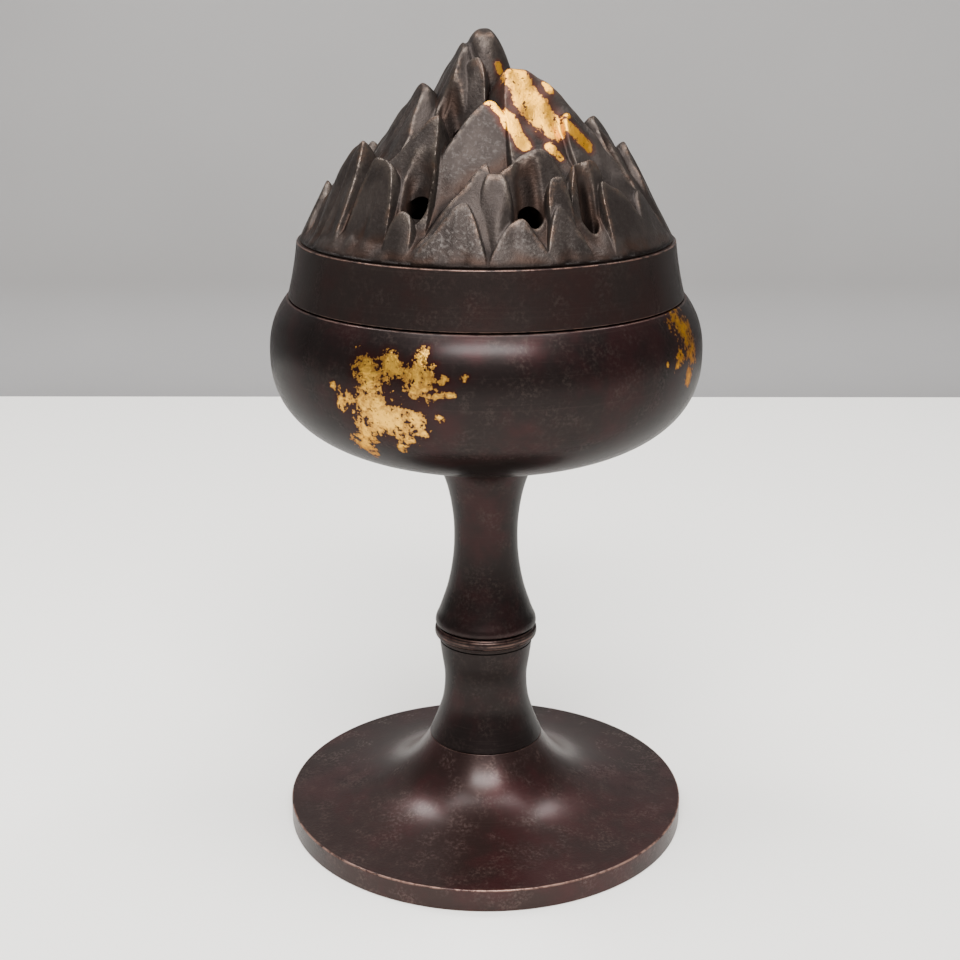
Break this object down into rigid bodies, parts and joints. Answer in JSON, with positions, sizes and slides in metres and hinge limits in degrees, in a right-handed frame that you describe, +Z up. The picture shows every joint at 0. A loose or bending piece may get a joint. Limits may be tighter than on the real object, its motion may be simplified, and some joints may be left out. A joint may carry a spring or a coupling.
{
  "type": "incense burner",
  "caption": "Stemmed censer: pierced hill-shaped lid on a squat round bowl with an ash cup, on a ringed stem and a flared round foot.",
  "frame": {"origin": "middle of the foot's underside, on the surface the burner stands on", "axes": "+Z up along the stem and the lid's lift; -Y is the front, +X to the right seen from the front"},
  "size_m": [0.102, 0.102, 0.1951],
  "materials": {
    "dark_bronze": "dark purple-brown patina, satin",
    "hill_bronze": "grey-brown patina, worn ridges, gold leaf splashes",
    "foot_bronze": "mottled purple-brown patina, worn copper edge",
    "copper": "spun copper, heat-toned",
    "steel": "plain turned steel",
    "brass": "plain machined brass"
  },
  "bodies": {
    "root": {"foot": "foot_bronze", "stem_lower": "dark_bronze", "stem_ring": "dark_bronze", "stem_upper": "dark_bronze", "bowl": "dark_bronze", "tie_rod": "steel", "foot_washer": "brass", "foot_nut": "brass"},
    "liner": {"ash_liner": "copper"},
    "lid": {"lid_collar": "dark_bronze", "lid_mountain": "hill_bronze"}
  },
  "joints": [
    {"name": "liner_lift", "type": "slide", "parent": "root", "child": "liner", "axis": [0, 0, 1], "range_m": [0, 0.05]},
    {"name": "lid_lift", "type": "slide", "parent": "liner", "child": "lid", "axis": [0, 0, 1], "range_m": [0, 0.08]}
  ]
}
